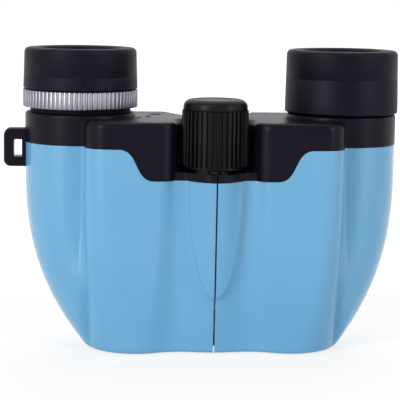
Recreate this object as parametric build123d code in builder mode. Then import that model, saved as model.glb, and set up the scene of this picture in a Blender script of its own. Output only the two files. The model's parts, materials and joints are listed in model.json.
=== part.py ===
"""Compact reverse-Porro binoculars: two folding halves on one hinge with internal focusing.

Millimetres, +Z towards the eyepieces, +X to the right as seen from the top side, +Y to the underside.
The origin is the centre of the footprint box, on the plane of the objective ends.
Shapes are drawn in a frame on the hinge axis: x outwards from the seam, y back from the axis.
"""

import os
from math import acos, atan2, cos, degrees, hypot, pi, radians, sin, sqrt, tan

from build123d import *

os.makedirs("parts", exist_ok=True)

# Optical layout, measured from the hinge axis with the halves opened flat
eye_x = 35.8
eye_y = 15.5
objective_x = 20.5
objective_y = 6.0

# Heights above the objective ends
seam_part_z = 46.2
wing_part_z = 54.5
lip_top_z = 48.3
deck_z = 61.6
boss_height = 1.1

# Housing form
lobe_r = 14.95
barrel_r = 13.5
wing_bend_z = 50.0
wing_bend_power = 2.7
crease_x = 34.6
crease_round = 1.3
crease_foot_angle = 20.0
barrel_corner_angle = 75.0
block_corner_r = 6.4
valley_x = 9.5
valley_front = 4.9
centre_front_top = 9.8
centre_front_foot = 6.0
tongue_raise = 1.1
tongue_half_width = 7.1
tongue_length = 31.0
parting_low_x = 16.2
parting_high_x = 25.8
parting_pull = 0.6
foot_edge_r = 0.9
deck_edge_r = 1.6
boss_edge_r = 0.8
boss_proud = 0.05
wall = 2.0
ledge = 1.2
seam_gap = 0.2
fold_deg = 45.0
fold_margin_deg = 1.0

# Fineness of the housing's outline: points per run, heights of its sections, angles of the foot's edge
swell_points = 10
rise_points = 5
straight_points = 2
front_steps = 4
corner_steps = 7
crease_steps = 4
lobe_points = 16
back_points = 5
return_points = 4
section_shares = (0, 0.07, 0.15, 0.25, 0.37, 0.5, 0.65, 0.82, 0.9, 1)
edge_angles = (0, pi / 6, pi / 3, pi / 2)

# Hinge
knuckle_r = 6.0
knuckle_clear = 0.3
knuckle_count = 5
hinge_low_z = 13.0
axial_clear = 0.1
tube_r = 3.7
tube_bore_r = 2.75
running_clear = 0.05
axis_cavity_r = 5.0
hinge_nut_r = 4.8
hinge_nut_t = 1.4
hinge_cap_low_z = 1.8

# Focus drive
knob_r = 9.0
knob_bottom_z = 48.9
knob_rib_top_z = 65.0
knob_top_z = 67.4
knob_rib_count = 36
knob_rib_depth = 0.6
knob_rib_width = 0.9
knob_shoulder_r = 2.0
knob_cap_r = 6.2
knob_cap_t = 0.8
knob_screw_head_r = 2.2
knob_screw_head_t = 1.3
knob_screw_r = 0.9
knob_screw_length = 8.0
recess_r = 10.2
recess_corner_r = 5.0
spindle_r = 1.8
spindle_low_z = 24.0
spindle_collar_t = 2.0
slider_top_z = 34.0
slider_shoulder_z = 9.6
neck_r = 1.6
arm_t = 1.5
arm_width = 5.0
arm_eye_r = 3.4
arm_clip_r = 2.8
arm_clip_t = 0.7
focus_travel = 1.5
slot_clear = 0.5

# Objectives
cell_bore_r = 12.0
cell_bore_top_z = 20.0
cap_seat_r = 12.2
cap_seat_depth = 3.0
slide_clear = 0.06
cell_low_z = 5.6
cell_height = 10.0
objective_lens_r = 11.0
objective_clear_r = 10.5
objective_lens_t = 4.0
objective_lens_rise = 0.8
retainer_t = 1.8
tunnel_r = 9.0

# Prisms
prism_headroom = 2.7
shelf_t = 1.5
shelf_window_r = 5.7
prism_end_cut = 0.8
clip_t = 0.4
clip_width = 5.0
clip_foot = 2.0
fit_clear = 0.1

# Eyepieces
boss_tube_r = 11.5
tube_wall = 1.5
ocular_depth = 11.1
ocular_flange_t = 1.4
ocular_cell_wall = 1.2
lens_seat = 0.9
field_lens_t = 3.2
eye_lens_t = 3.6
lens_rise = 0.7
ring_rise = 1.3
ring_height = 4.7
ring_proud = 0.1
ring_tooth_count = 72
ring_tooth_depth = 0.45
snap_width = 1.0
snap_t = 1.0
collar_clear = 0.3
collar_t = 0.8
eyecup_wall = 1.9
eyecup_gap = 0.3
eyecup_height = 17.0
eyecup_waist = 0.18
eyecup_lip = 1.5
eyecup_band_drop = 7.6
eyecup_collar_drop = 5.0
eyecup_rim_r = 1.5
eyecup_mouth_lip = 0.9

# Strap lug
lug_reach = 5.8
lug_low_z = 47.6
lug_top_z = 58.0
lug_depth = 5.0
lug_slot_low_z = 50.3
lug_slot_top_z = 55.0
lug_slot_width = 2.2
lug_outer_bar = 2.75
lug_corner_r = 1.9
lug_edge_r = 0.6

# Derived sizes and places
groove = radians(fold_deg / 2 + fold_margin_deg)
block_front = objective_y - barrel_r
block_start_x = recess_r + recess_corner_r
block_corner_x = crease_x - block_corner_r
wing_edge = eye_x + lobe_r
wing_back = eye_y + lobe_r
boss_top_z = deck_z + boss_height
ocular_bore_r = boss_tube_r - tube_wall
ocular_lens_r = ocular_bore_r - ocular_cell_wall
ocular_clear_r = ocular_lens_r - lens_seat
snap_r = boss_tube_r + snap_width
collar_bore_r = snap_r + collar_clear
collar_r = collar_bore_r + collar_t
eyecup_r = collar_r + eyecup_wall
eyecup_mouth_r = boss_tube_r - eyecup_mouth_lip
ring_r = eyecup_r + ring_proud
ring_low_z = boss_top_z + ring_rise
ring_top_z = ring_low_z + ring_height
boss_tube_top_z = ring_top_z + snap_t + collar_clear
ocular_low_z = boss_tube_top_z - ocular_depth
eyecup_base_z = boss_top_z + eyecup_gap
eyecup_top_z = eyecup_base_z + eyecup_height
eyecup_band_z = eyecup_top_z - eyecup_band_drop
collar_top_z = eyecup_top_z - eyecup_collar_drop
hinge_x = (wing_edge + lug_reach - eye_x - eyecup_r) / 2
hinge_y = -(eye_y + ring_r - centre_front_top - tongue_raise) / 2
objective_axis = (objective_x, objective_y)
eye_axis = (eye_x, eye_y)
tube_top_z = lip_top_z
seam_plane = Plane.YZ.offset(hinge_x)
guard_r = recess_r + wall
sides = (("left", -1), ("right", 1))


def level(z):
    """Horizontal drawing plane at height z, centred on the hinge axis."""
    return Plane(origin=(hinge_x, hinge_y, z))


def upright(x, y):
    """Vertical drawing plane through a point of the hinge frame: sketch x is +X, sketch y is +Z."""
    return Plane(origin=(hinge_x + x, hinge_y + y, 0), x_dir=(1, 0, 0), z_dir=(0, -1, 0))


def vertical(x, y):
    """Vertical axis through a point of the hinge frame."""
    return Axis((hinge_x + x, hinge_y + y, 0), (0, 0, 1))


def turned(points, x=0.0, y=0.0):
    """Closed half profile of (radius, height) points, ready to revolve about the axis at x, y."""
    with BuildSketch(upright(x, y)) as half_profile:
        with BuildLine():
            Polyline(*points, close=True)
        make_face()
    return half_profile.sketch


def lens_profile(radius, clear_r, low_z, thickness, rise, x, y):
    """Half profile of a biconvex lens with a flat rim outside its clear radius."""
    high_z = low_z + thickness
    ball_r = (clear_r**2 + rise**2) / (2 * rise)
    drop = ball_r - sqrt(ball_r**2 - (clear_r / 2) ** 2)
    with BuildSketch(upright(x, y)) as half_profile:
        with BuildLine():
            Line((0, low_z - rise), (0, high_z + rise))
            ThreePointArc((0, high_z + rise), (clear_r / 2, high_z + rise - drop), (clear_r, high_z))
            Polyline((clear_r, high_z), (radius, high_z), (radius, low_z), (clear_r, low_z))
            ThreePointArc((clear_r, low_z), (clear_r / 2, low_z - rise + drop), (0, low_z - rise))
        make_face()
    return half_profile.sketch


def tube(outer_r, inner_r, low_z, high_z, x=0.0, y=0.0):
    """Half profile of a plain tube."""
    return turned([(inner_r, low_z), (outer_r, low_z), (outer_r, high_z), (inner_r, high_z)], x, y)


def disc(radius, low_z, high_z, x=0.0, y=0.0):
    """Half profile of a plain disc or rod."""
    return tube(radius, 0, low_z, high_z, x, y)


def rounded_disc(radius, low_z, high_z, edge_r, x, y):
    """Half profile of a disc whose upper edge is rounded."""
    corner = edge_r * (1 - sqrt(0.5))
    with BuildSketch(upright(x, y)) as half_profile:
        with BuildLine():
            Polyline(
                (radius - edge_r, high_z),
                (0, high_z),
                (0, low_z),
                (radius, low_z),
                (radius, high_z - edge_r),
            )
            ThreePointArc(
                (radius, high_z - edge_r),
                (radius - corner, high_z - corner),
                (radius - edge_r, high_z),
            )
        make_face()
    return half_profile.sketch


def blend(foot, top, share):
    """Point between two points."""
    return tuple(a + (b - a) * share for a, b in zip(foot, top))


def on_circle(centre, radius, angle_deg):
    """Point on a circle, the angle measured from +x towards the front of the object."""
    angle = radians(angle_deg)
    return (centre[0] + radius * cos(angle), centre[1] - radius * sin(angle))


def wing_share(z):
    """How far the wing has swung from the objective barrel, 0, to the eyepiece lobe, 1, at height z."""
    return 1 - (1 - min(z, wing_bend_z) / wing_bend_z) ** wing_bend_power


def centre_front(z):
    """How far the middle of the top side stands in front of the hinge axis at height z."""
    share = min(z, seam_part_z) / seam_part_z
    return centre_front_foot + (centre_front_top - centre_front_foot) * share


def ease(share):
    """Smooth step from 0 to 1 with level ends."""
    return (1 - cos(pi * share)) / 2


def spread(count):
    """Evenly spaced shares from 0 up to, but not including, 1."""
    return [i / count for i in range(count)]


def front_points(z, share):
    """Top side of the right half at height z: swell over the hinge, valley and rise to the prism block."""
    block_start = objective_x + (block_start_x - objective_x) * share
    swell = centre_front(z) - valley_front
    rise = -block_front - valley_front
    points = []
    for t in spread(swell_points):
        x = valley_x * (2 * t - 1)
        points.append((x, -valley_front - swell * ease(1 - abs(x) / valley_x)))
    for t in spread(rise_points):
        points.append((valley_x + (block_start - valley_x) * t, -valley_front - rise * ease(t)))
    return points


def block_points(share):
    """Front of the prism block and its outer corner, which become the objective barrel at the foot."""
    points = []
    for t in spread(front_steps):
        foot = on_circle(objective_axis, barrel_r, 90 + (barrel_corner_angle - 90) * t)
        top = (block_start_x + (block_corner_x - block_start_x) * t, block_front)
        points.append(blend(foot, top, share))
    for t in spread(corner_steps):
        foot_angle = barrel_corner_angle + (crease_foot_angle - barrel_corner_angle) * t
        foot = on_circle(objective_axis, barrel_r, foot_angle)
        top = on_circle((block_corner_x, block_front + block_corner_r), block_corner_r, 90 * (1 - t))
        points.append(blend(foot, top, share))
    return points


def turn_points(before, corner, after):
    """Smooth turn in place of a corner: a parabola from the point before it to the point after it."""
    points = []
    for t in spread(crease_steps):
        points.append(blend(blend(before, corner, t), blend(corner, after, t), t))
    return points


def wing_outline(z):
    """Plan points of the right half at height z: along the front, round the lobe, back past the seam."""
    share = wing_share(z)
    lobe = blend(objective_axis, eye_axis, share)
    radius = barrel_r + (lobe_r - barrel_r) * share
    crease_angle = crease_foot_angle + (crease_top_angle - crease_foot_angle) * share
    crease = on_circle(lobe, radius, crease_angle)
    corner_foot = on_circle(objective_axis, barrel_r, crease_foot_angle + degrees(crease_round / barrel_r))
    corner_end = blend(corner_foot, (crease_x, crease[1] - crease_round), share)
    lobe_start = crease_angle - degrees(crease_round / radius)
    back = lobe[1] + radius
    points = front_points(z, share) + block_points(share)
    points += turn_points(corner_end, crease, on_circle(lobe, radius, lobe_start))
    points += [on_circle(lobe, radius, lobe_start - (lobe_start + 90) * t) for t in spread(lobe_points)]
    points += [(lobe[0] * (1 - t), back) for t in spread(back_points)]
    points += [(-valley_x * sin(pi / 2 * t), back * cos(pi / 2 * t)) for t in spread(return_points)]
    return points


def run_lengths(points):
    """Length of the closed outline up to each point and back to the first, as shares of the whole."""
    lengths = [0.0]
    for point, after in zip(points, points[1:] + points[:1]):
        lengths.append(lengths[-1] + hypot(after[0] - point[0], after[1] - point[1]))
    return [length / lengths[-1] for length in lengths]


def inset_points(points, inset):
    """Closed outline moved inwards by a small amount, square to its run at each point."""
    moved = []
    for before, point, after in zip(points[-1:] + points[:-1], points, points[1:] + points[:1]):
        run_x, run_y = after[0] - before[0], after[1] - before[1]
        scale = inset / hypot(run_x, run_y)
        moved.append((point[0] - run_y * scale, point[1] + run_x * scale))
    return moved


def closed_face(points, z, shares):
    """Horizontal face at height z inside one smooth closed curve."""
    with BuildSketch(level(z)) as outline:
        with BuildLine():
            add(Edge.make_spline(points, periodic=True, parameters=shares))
        make_face()
    return outline.sketch


def wing_section(z, inset=0.0):
    """Plan face of the right half at height z, closed past the seam, where it is cut later."""
    return closed_face(inset_points(wing_outline(z), inset), z, outline_shares)


def end_outline():
    """Plan points of the right half above the lip: knob recess, prism block, lobe, back past the seam."""
    crease = on_circle(eye_axis, lobe_r, crease_top_angle)
    lobe_start = crease_top_angle - degrees(crease_round / lobe_r)
    recess_corner = (block_start_x, block_front + recess_corner_r)
    points = [on_circle((0, 0), recess_r, 90 * (t - 1)) for t in spread(rise_points)]
    points += [blend((recess_r, 0), (recess_r, recess_corner[1]), t) for t in spread(straight_points)]
    points += [on_circle(recess_corner, recess_corner_r, 180 - 90 * t) for t in spread(corner_steps)]
    points += block_points(1)
    crease_start = (crease_x, crease[1] - crease_round)
    points += turn_points(crease_start, crease, on_circle(eye_axis, lobe_r, lobe_start))
    points += [on_circle(eye_axis, lobe_r, lobe_start - (lobe_start + 90) * t) for t in spread(lobe_points)]
    points += [(eye_x * (1 - t), wing_back) for t in spread(back_points)]
    middle = (0, (wing_back + recess_r) / 2)
    points += [on_circle(middle, (wing_back - recess_r) / 2, 270 - 180 * t) for t in spread(back_points)]
    return points


def chamber_plan(z, lobe, inset):
    """Plan of the prism chamber at height z: the block and the lobe, both inset from the outer form."""
    back = lobe[1] + lobe_r - inset
    front = block_front + inset
    side = inset / cos(groove)
    with BuildSketch(level(z)) as plan:
        with BuildLine():
            Polyline(
                (valley_x, inset - valley_front),
                (block_start_x, front),
                (block_corner_x, front),
                (crease_x - inset, eye_y - lobe_r),
                (lobe[0], lobe[1]),
                (lobe[0], back),
                (side + back * tan(groove), back),
                (side, 0),
                close=True,
            )
        make_face()
        with Locations(lobe):
            Circle(lobe_r - inset)
        Circle(guard_r, mode=Mode.SUBTRACT)
    return plan.sketch


# Path of the light: two prisms of equal size shift it from the objective axis to the eyepiece axis
path_angle = atan2(eye_y - objective_y, eye_x - objective_x)
prism_shift = hypot(eye_x - objective_x, eye_y - objective_y) / sqrt(2)
upper_dir = (cos(path_angle + pi / 4), sin(path_angle + pi / 4))
lower_dir = (cos(path_angle - pi / 4), sin(path_angle - pi / 4))
turn_axis = (objective_x + prism_shift * upper_dir[0], objective_y + prism_shift * upper_dir[1])
upper_centre = blend(objective_axis, turn_axis, 0.5)
lower_centre = blend(turn_axis, eye_axis, 0.5)
ridge_rise = prism_shift - prism_end_cut
shelf_top_z = deck_z - wall - prism_headroom - clip_t - fit_clear - ridge_rise
shelf_z = shelf_top_z - shelf_t
chamber_floor_z = shelf_z - prism_shift - clip_t - slot_clear


def prism_plane(centre, direction, side):
    """Vertical plane along a prism: sketch x runs along its long face, sketch y is +Z."""
    origin = (hinge_x + side * centre[0], hinge_y + centre[1], 0)
    along = Vector(side * direction[0], direction[1], 0)
    return Plane(origin=origin, x_dir=along, z_dir=along.cross(Vector(0, 0, 1)))


def prism_profile(plane, face_z, turn):
    """Right-angle prism seen from its side, its ridge above (turn 1) or below (turn -1) the long face."""
    end = prism_shift - prism_end_cut
    with BuildSketch(plane) as profile:
        with BuildLine():
            Polyline(
                (-end, face_z),
                (end, face_z),
                (end, face_z + turn * prism_end_cut),
                (prism_end_cut, face_z + turn * ridge_rise),
                (-prism_end_cut, face_z + turn * ridge_rise),
                (-end, face_z + turn * prism_end_cut),
                close=True,
            )
        make_face()
    return profile.sketch


def tongue_section(z):
    """Plan of the raised middle of the right half at height z."""
    front = -centre_front(z) - tongue_raise
    foot = -valley_front - tongue_raise
    pull_x = valley_x / 2
    with BuildSketch(level(z)) as outline:
        with BuildLine():
            Bezier((seam_gap, front), (pull_x, front), (pull_x, foot), (valley_x, foot))
            Line((valley_x, foot), (valley_x, 0))
            Line((valley_x, 0), (seam_gap, 0))
            Line((seam_gap, 0), (seam_gap, front))
        make_face()
    return outline.sketch


def knuckle_span(index):
    """Lower and upper height of one hinge knuckle."""
    pitch = (seam_part_z - hinge_low_z) / knuckle_count
    return hinge_low_z + index * pitch, hinge_low_z + (index + 1) * pitch


# Raised tongue beside the seam, an ellipse seen from the top side
with BuildPart() as tongue:
    loft([tongue_section(z) for z in (0, seam_part_z, lip_top_z)], ruled=True)
    with BuildSketch(upright(0, 0)) as tongue_outline:
        with Locations((0, seam_part_z)):
            Ellipse(tongue_half_width, tongue_length)
        with Locations((0, seam_part_z)):
            on_foot = (Align.CENTER, Align.MIN)
            Rectangle(2 * tongue_half_width, tongue_length, align=on_foot, mode=Mode.SUBTRACT)
            Rectangle(2 * tongue_half_width, lip_top_z - seam_part_z, align=on_foot)
    extrude(amount=lobe_r, both=True, mode=Mode.INTERSECT)

# Outer form of the right half up to the wing's parting line
crease_top_angle = degrees(acos((crease_x - eye_x) / lobe_r))
foot_shares = run_lengths(wing_outline(0))
top_shares = run_lengths(wing_outline(wing_part_z))
outline_shares = [(low + high) / 2 for low, high in zip(foot_shares, top_shares)]
with BuildPart() as half_form:
    loft([
        wing_section(foot_edge_r * (1 - cos(angle)), foot_edge_r * (1 - sin(angle)))
        for angle in edge_angles
    ])
    loft([wing_section(foot_edge_r + (wing_part_z - foot_edge_r) * share) for share in section_shares])
    add(tongue.part)
    with BuildSketch(level(0)) as half_sector:
        with BuildLine():
            Polyline(
                (seam_gap, -wing_edge),
                (2 * wing_edge, -wing_edge),
                (2 * wing_edge, wing_edge),
                (wing_edge * tan(groove), wing_edge),
                (seam_gap, seam_gap / tan(groove)),
                close=True,
            )
        make_face()
    extrude(amount=wing_part_z, mode=Mode.INTERSECT)

# Eyepiece-end form: prism block and lobe round half the knob recess, with a rounded deck edge and the boss
end_points = end_outline()
end_shares = run_lengths(end_points)
edge_z = deck_z - deck_edge_r
with BuildPart() as end_form:
    loft([closed_face(end_points, z, end_shares) for z in (seam_part_z, edge_z)])
    loft([
        closed_face(
            inset_points(end_points, deck_edge_r * (1 - cos(angle))),
            edge_z + deck_edge_r * sin(angle),
            end_shares,
        )
        for angle in edge_angles
    ])
    revolve(rounded_disc(lobe_r + boss_proud, wing_part_z, boss_top_z, boss_edge_r, *eye_axis),
            axis=vertical(*eye_axis))
    extrude(half_sector.sketch, amount=eyecup_top_z, mode=Mode.INTERSECT)

# Everything above the parting line, a flat cut with an S at each side of the knob recess
with BuildPart() as cover_region:
    with BuildSketch(upright(0, 0)):
        with BuildLine():
            knee = (parting_high_x - parting_low_x) * parting_pull
            Line((-wall, seam_part_z), (parting_low_x, seam_part_z))
            Bezier((parting_low_x, seam_part_z), (parting_low_x + knee, seam_part_z),
                   (parting_high_x - knee, wing_part_z), (parting_high_x, wing_part_z))
            Polyline((parting_high_x, wing_part_z), (wing_edge + wall, wing_part_z),
                     (wing_edge + wall, eyecup_top_z), (-wall, eyecup_top_z), (-wall, seam_part_z))
        make_face()
    extrude(amount=wing_edge, both=True)

# Hollow for the prisms: a deep lower room and a wider one above the shelf's ledge
floor_lobe = blend(objective_axis, eye_axis, wing_share(chamber_floor_z))
with BuildPart() as chamber:
    extrude(chamber_plan(chamber_floor_z, floor_lobe, wall + ledge), amount=shelf_z - chamber_floor_z)
    extrude(chamber_plan(shelf_z, eye_axis, wall), amount=deck_z - wall - shelf_z)

# Right shell and cover
lip_x = block_start_x - recess_corner_r / 2
floor_back = (recess_r + guard_r) / 2
lip_front = [point for point in front_points(lip_top_z, 1) if seam_gap < point[0] < valley_x]
with BuildPart() as right_cover:
    with BuildSketch(level(seam_part_z)):
        with BuildLine():
            Spline(
                (seam_gap, -centre_front_top),
                *lip_front,
                (valley_x, -valley_front),
                tangents=((1, 0), (1, 0)),
            )
            Polyline(
                (valley_x, -valley_front),
                (lip_x, -valley_front),
                (lip_x, floor_back),
                (floor_back * tan(groove), floor_back),
                (seam_gap, seam_gap / tan(groove)),
                (seam_gap, -centre_front_top),
            )
        make_face()
    extrude(amount=lip_top_z - seam_part_z)
    add(tongue.part)
    add(end_form.part)
    add(cover_region.part, mode=Mode.INTERSECT)
    revolve(disc(boss_tube_r, deck_z - wall, boss_tube_top_z, *eye_axis), axis=vertical(*eye_axis))
    add(chamber.part, mode=Mode.SUBTRACT)
    revolve(disc(ocular_bore_r, wing_part_z, boss_tube_top_z, *eye_axis), axis=vertical(*eye_axis),
            mode=Mode.SUBTRACT)
    revolve(disc(tube_r + running_clear, 0, boss_top_z), axis=vertical(0, 0), mode=Mode.SUBTRACT)

arm_angle = degrees(atan2(objective_y, objective_x))
arm_slot_low_z = slider_shoulder_z - 2 * arm_t - axial_clear - focus_travel - slot_clear
arm_slot_top_z = slider_shoulder_z + focus_travel + slot_clear
with BuildPart() as right_housing:
    add(half_form.part)
    add(cover_region.part, mode=Mode.SUBTRACT)
    add(chamber.part, mode=Mode.SUBTRACT)
    revolve(disc(cap_seat_r, 0, cap_seat_depth, *objective_axis), axis=vertical(*objective_axis),
            mode=Mode.SUBTRACT)
    revolve(disc(cell_bore_r, 0, cell_bore_top_z, *objective_axis), axis=vertical(*objective_axis),
            mode=Mode.SUBTRACT)
    revolve(disc(tunnel_r, 0, shelf_z, *objective_axis), axis=vertical(*objective_axis), mode=Mode.SUBTRACT)
    revolve(disc(axis_cavity_r, 0, hinge_low_z + axial_clear), axis=vertical(0, 0), mode=Mode.SUBTRACT)
    with BuildSketch(level(arm_slot_low_z)):
        with Locations(Location((0, 0), arm_angle)):
            Rectangle(hypot(objective_x, objective_y), arm_width + 2 * slot_clear,
                      align=(Align.MIN, Align.CENTER))
    extrude(amount=arm_slot_top_z - arm_slot_low_z, mode=Mode.SUBTRACT)


def hinge_shell(housing, first, bore_r):
    """One shell with its own hinge knuckles and room for the other half's."""
    with BuildPart() as shell:
        add(housing)
        for index in range(knuckle_count):
            low_z, high_z = knuckle_span(index)
            if index % 2 == first:
                revolve(disc(knuckle_r, low_z + axial_clear, high_z - axial_clear), axis=vertical(0, 0))
            else:
                seat = disc(knuckle_r + knuckle_clear, low_z, high_z)
                revolve(seat, axis=vertical(0, 0), mode=Mode.SUBTRACT)
        revolve(disc(bore_r, 0, lip_top_z), axis=vertical(0, 0), mode=Mode.SUBTRACT)
    return shell.part


with BuildPart() as right_shell:
    add(hinge_shell(right_housing.part, 1, tube_r + running_clear))
with BuildPart() as left_shell:
    add(hinge_shell(mirror(right_housing.part, about=seam_plane, mode=Mode.PRIVATE), 0, tube_r))
with BuildPart() as left_cover:
    mirror(right_cover.part, about=seam_plane)

right_shell.part.label = "right_shell"
export_step(right_shell.part, "parts/right_shell.step")
left_shell.part.label = "left_shell"
export_step(left_shell.part, "parts/left_shell.step")
right_cover.part.label = "right_cover"
export_step(right_cover.part, "parts/right_cover.step")
left_cover.part.label = "left_cover"
export_step(left_cover.part, "parts/left_cover.step")

# Strap lug: a loop moulded against the left lobe
with BuildPart() as strap_lug:
    with BuildSketch(upright(0, eye_y)):
        with Locations((-wing_edge - lug_reach, (lug_low_z + lug_top_z) / 2)):
            Rectangle(lug_reach + wall, lug_top_z - lug_low_z, align=(Align.MIN, Align.CENTER))
        with Locations((-wing_edge - lug_reach + lug_outer_bar, (lug_slot_low_z + lug_slot_top_z) / 2)):
            Rectangle(lug_slot_width, lug_slot_top_z - lug_slot_low_z, align=(Align.MIN, Align.CENTER),
                      mode=Mode.SUBTRACT)
    extrude(amount=lug_depth / 2, both=True)
    fillet(strap_lug.edges().filter_by(Axis.Y).group_by(Axis.X)[0], lug_corner_r)
    fillet(strap_lug.faces().sort_by(Axis.Y)[0].outer_wire().edges(), lug_edge_r)
    fillet(strap_lug.faces().sort_by(Axis.Y)[-1].outer_wire().edges(), lug_edge_r)
    add(left_shell.part, mode=Mode.SUBTRACT)
    add(left_cover.part, mode=Mode.SUBTRACT)
strap_lug.part.label = "strap_lug"
export_step(strap_lug.part, "parts/strap_lug.step")

# Prisms, their shelf and their spring clips
with BuildPart() as right_prism_shelf:
    extrude(chamber_plan(shelf_z, eye_axis, wall + fit_clear), amount=shelf_t)
    for window in (objective_axis, turn_axis, eye_axis):
        window_cut = disc(shelf_window_r, shelf_z, shelf_top_z, *window)
        revolve(window_cut, axis=vertical(*window), mode=Mode.SUBTRACT)
with BuildPart() as left_prism_shelf:
    mirror(right_prism_shelf.part, about=seam_plane)
right_prism_shelf.part.label = "right_prism_shelf"
export_step(right_prism_shelf.part, "parts/right_prism_shelf.step")
left_prism_shelf.part.label = "left_prism_shelf"
export_step(left_prism_shelf.part, "parts/left_prism_shelf.step")

clip_half = prism_shift / 2 + fit_clear
for name, side in sides:
    upper_plane = prism_plane(upper_centre, upper_dir, side)
    lower_plane = prism_plane(lower_centre, lower_dir, side)
    with BuildPart() as upper_prism:
        extrude(prism_profile(upper_plane, shelf_top_z, 1), amount=prism_shift / 2, both=True)
    with BuildPart() as lower_prism:
        extrude(prism_profile(lower_plane, shelf_z, -1), amount=prism_shift / 2, both=True)
    upper_prism.part.label = f"{name}_upper_prism"
    export_step(upper_prism.part, f"parts/{name}_upper_prism.step")
    lower_prism.part.label = f"{name}_lower_prism"
    export_step(lower_prism.part, f"parts/{name}_lower_prism.step")
    with BuildPart() as prism_clips:
        for plane, face_z, turn in ((upper_plane, shelf_top_z, 1), (lower_plane, shelf_z, -1)):
            across = Plane(origin=plane.origin, x_dir=plane.z_dir, z_dir=plane.x_dir)
            up = turn if across.y_dir.Z > 0 else -turn
            ridge_y = ridge_rise + fit_clear
            with BuildSketch(across):
                with BuildLine():
                    Polyline(
                        *[(x * sign, (face_z * turn + y) * up)
                          for x, y, sign in (
                              (clip_half + clip_foot, 0, -1),
                              (clip_half + clip_foot, clip_t, -1),
                              (clip_half + clip_t, clip_t, -1),
                              (clip_half + clip_t, ridge_y + clip_t, -1),
                              (clip_half + clip_t, ridge_y + clip_t, 1),
                              (clip_half + clip_t, clip_t, 1),
                              (clip_half + clip_foot, clip_t, 1),
                              (clip_half + clip_foot, 0, 1),
                              (clip_half, 0, 1),
                              (clip_half, ridge_y, 1),
                              (clip_half, ridge_y, -1),
                              (clip_half, 0, -1),
                          )],
                        close=True,
                    )
                make_face()
            extrude(amount=clip_width / 2, both=True)
    prism_clips.part.label = f"{name}_prism_clips"
    export_step(prism_clips.part, f"parts/{name}_prism_clips.step")

# Objective units: sliding cell, lens and retaining ring
cell_r = cell_bore_r - slide_clear
lens_low_z = cell_low_z + retainer_t
lens_high_z = lens_low_z + objective_lens_t
cell_top_z = cell_low_z + cell_height
for name, side in sides:
    place = (side * objective_x, objective_y)
    with BuildPart() as objective_cell:
        revolve(
            turned(
                [
                    (objective_lens_r, cell_low_z),
                    (cell_r, cell_low_z),
                    (cell_r, cell_top_z),
                    (objective_clear_r, cell_top_z),
                    (objective_clear_r, lens_high_z),
                    (objective_lens_r, lens_high_z),
                ],
                *place,
            ),
            axis=vertical(*place),
        )
    with BuildPart() as objective_lens:
        revolve(
            lens_profile(objective_lens_r, objective_clear_r - fit_clear, lens_low_z, objective_lens_t,
                         objective_lens_rise, *place),
            axis=vertical(*place),
        )
    with BuildPart() as objective_retainer:
        revolve(tube(objective_lens_r, objective_clear_r - fit_clear, cell_low_z, lens_low_z, *place),
                axis=vertical(*place))
    for piece, label in (
        (objective_cell, "objective_cell"),
        (objective_lens, "objective_lens"),
        (objective_retainer, "objective_retainer"),
    ):
        piece.part.label = f"{name}_{label}"
        export_step(piece.part, f"parts/{name}_{label}.step")

# Focus arms: each joins the slider's neck to the objective cell of its own half
left_arm_low_z = slider_shoulder_z - arm_t
right_arm_low_z = left_arm_low_z - axial_clear - arm_t
for name, side, low_z in (("left", -1, left_arm_low_z), ("right", 1, right_arm_low_z)):
    place = (side * objective_x, objective_y)
    neck_bore_r = neck_r + (running_clear if side > 0 else 0)
    with BuildPart() as focus_arm:
        with BuildSketch(level(low_z)):
            Circle(arm_eye_r)
            with Locations(Location((0, 0), 90 - side * (90 - arm_angle))):
                Rectangle(hypot(objective_x, objective_y), arm_width, align=(Align.MIN, Align.CENTER))
            Circle(neck_bore_r, mode=Mode.SUBTRACT)
            with Locations(place):
                Circle(cell_r, mode=Mode.SUBTRACT)
        extrude(amount=arm_t)
    focus_arm.part.label = f"{name}_focus_arm"
    export_step(focus_arm.part, f"parts/{name}_focus_arm.step")

# Slider, the clip under the arms, hinge tube and its nut
slider_r = tube_bore_r - running_clear
clip_low_z = right_arm_low_z - axial_clear - arm_clip_t
hinge_cap_top_z = clip_low_z - focus_travel - 2 * axial_clear
neck_low_z = hinge_cap_top_z + 2 * axial_clear
with BuildPart() as focus_slider:
    revolve(
        turned(
            [
                (0, neck_low_z),
                (neck_r, neck_low_z),
                (neck_r, slider_shoulder_z),
                (slider_r, slider_shoulder_z),
                (slider_r, slider_top_z),
                (spindle_r + running_clear, slider_top_z),
                (spindle_r + running_clear, spindle_low_z - 2 * focus_travel),
                (0, spindle_low_z - 2 * focus_travel),
            ]
        ),
        axis=vertical(0, 0),
    )
focus_slider.part.label = "focus_slider"
export_step(focus_slider.part, "parts/focus_slider.step")

with BuildPart() as arm_clip:
    revolve(tube(arm_clip_r, neck_r, clip_low_z, clip_low_z + arm_clip_t), axis=vertical(0, 0))
arm_clip.part.label = "arm_clip"
export_step(arm_clip.part, "parts/arm_clip.step")

nut_top_z = hinge_low_z + axial_clear
with BuildPart() as hinge_tube:
    revolve(tube(tube_r, tube_bore_r, nut_top_z - hinge_nut_t, tube_top_z), axis=vertical(0, 0))
hinge_tube.part.label = "hinge_tube"
export_step(hinge_tube.part, "parts/hinge_tube.step")

with BuildPart() as hinge_nut:
    revolve(tube(hinge_nut_r, tube_r, nut_top_z - hinge_nut_t, nut_top_z), axis=vertical(0, 0))
hinge_nut.part.label = "hinge_nut"
export_step(hinge_nut.part, "parts/hinge_nut.step")

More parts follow.
